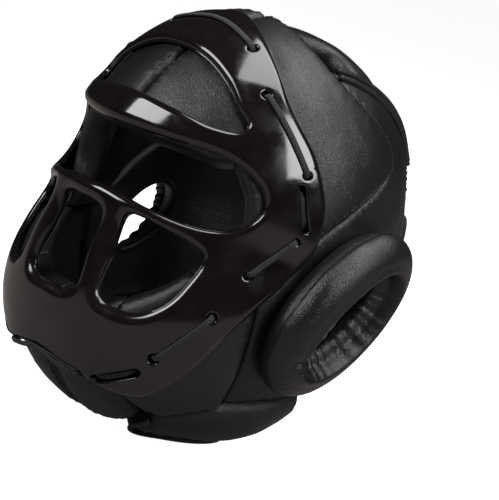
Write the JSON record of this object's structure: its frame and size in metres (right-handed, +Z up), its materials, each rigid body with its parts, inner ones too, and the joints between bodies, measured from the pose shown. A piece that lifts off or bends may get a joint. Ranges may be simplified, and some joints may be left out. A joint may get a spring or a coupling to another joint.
{
  "type": "boxing headgear",
  "caption": "Padded boxing headgear with padded ear cups, an open crown with a lift-up crown pad, a lace-on moulded face cage and a peel-off neck strap.",
  "frame": {"origin": "under the middle of the headgear, on the surface it stands on", "axes": "+Z up, the face looks along -Y, +X is the wearer's left"},
  "size_m": [0.2336, 0.2482, 0.249],
  "materials": {
    "leather": "satin",
    "foam": "matte",
    "cage": "gloss",
    "lace": "matte",
    "piping": "satin",
    "tape": "matte",
    "loop": "matte",
    "hook": "matte",
    "webbing": "satin"
  },
  "bodies": {
    "shell": {"cage_lace": "lace", "cheek_cover_left": "leather", "cheek_cover_right": "leather", "cheek_foam_left": "foam", "cheek_foam_right": "foam", "chin_cover_left": "leather", "chin_cover_right": "leather", "chin_foam_left": "foam", "chin_foam_right": "foam", "crown_tape_left": "tape", "crown_tape_rear": "tape", "crown_tape_right": "tape", "ear_cover_left": "leather", "ear_cover_right": "leather", "ear_foam_left": "foam", "ear_foam_right": "foam", "face_cage": "cage", "forehead_cover_left": "leather", "forehead_cover_right": "leather", "forehead_foam_left": "foam", "forehead_foam_right": "foam", "jaw_cover_left": "leather", "jaw_cover_right": "leather", "jaw_foam_left": "foam", "jaw_foam_right": "foam", "jaw_piping_left": "piping", "jaw_piping_right": "piping", "loop_panel": "loop", "neck_cover": "leather", "neck_foam": "foam", "neck_piping": "piping", "side_cover_left": "leather", "side_cover_right": "leather", "side_foam_left": "foam", "side_foam_right": "foam", "strap_anchor": "webbing", "wing_cover_left": "leather", "wing_cover_right": "leather", "wing_foam_left": "foam", "wing_foam_right": "foam", "wing_piping_left": "piping", "wing_piping_right": "piping"},
    "crown_pad": {"crown_cover": "leather", "crown_foam": "foam"},
    "neck_strap": {"closure_strap": "webbing", "hook_tape": "hook"}
  },
  "joints": [
    {"name": "crown_lift", "type": "hinge", "parent": "shell", "child": "crown_pad", "pos_m": [0, -0.00328, 0.24235], "axis": [1, 0, 0], "range_deg": [0, 75]},
    {"name": "strap_peel", "type": "hinge", "parent": "shell", "child": "neck_strap", "pos_m": [-0.05985, 0.10072, 0.12815], "axis": [0, 0, 1], "range_deg": [0, 110]}
  ]
}
